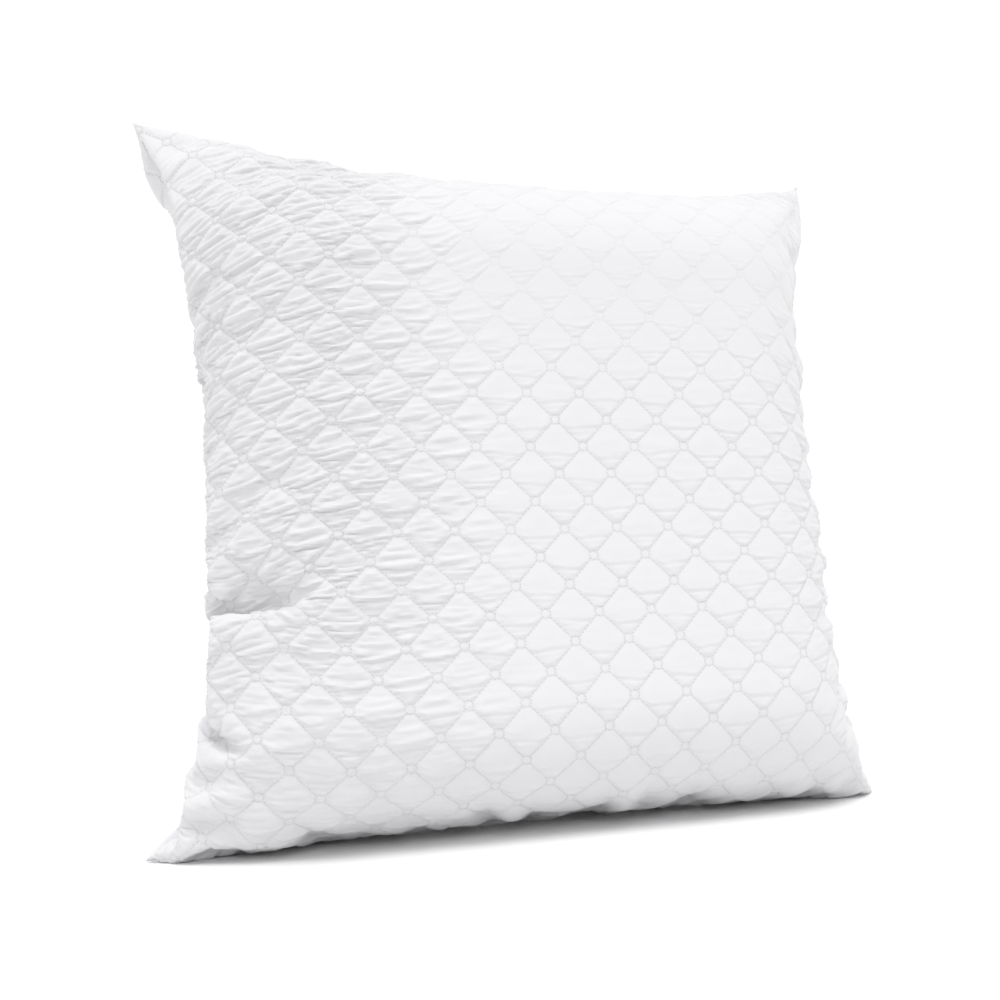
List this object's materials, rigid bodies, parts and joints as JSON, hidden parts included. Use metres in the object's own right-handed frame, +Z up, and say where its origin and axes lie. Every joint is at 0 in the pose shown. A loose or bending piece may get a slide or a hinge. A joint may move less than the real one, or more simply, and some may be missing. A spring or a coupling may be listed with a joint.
{
  "type": "bed pillow",
  "caption": "Square quilted bed pillow: two sewn panels of face fabric, wadding and backing round a fibre filling, standing on one edge.",
  "frame": {"origin": "centre of the underside of the pillow's box, on the surface that it stands on", "axes": "+X along the pillow, +Y from its front to its back, +Z up; it leans back about 8 degrees"},
  "size_m": [0.664, 0.2394, 0.6143],
  "materials": {
    "face_fabric": "brushed microfibre, quilted",
    "wadding": "polyester wadding",
    "backing": "spunbonded nonwoven",
    "filling": "loose siliconised fibre",
    "thread": "spun polyester thread",
    "label": "plain satin tape, blank"
  },
  "bodies": {
    "root": {"front_face_fabric": "face_fabric", "front_wadding": "wadding", "front_backing": "backing", "back_face_fabric": "face_fabric", "back_wadding": "wadding", "back_backing": "backing", "fibre_filling": "filling", "assembly_seam_thread": "thread", "overlock_seam_thread": "thread", "closing_seam_thread": "thread", "care_label": "label"}
  },
  "joints": []
}
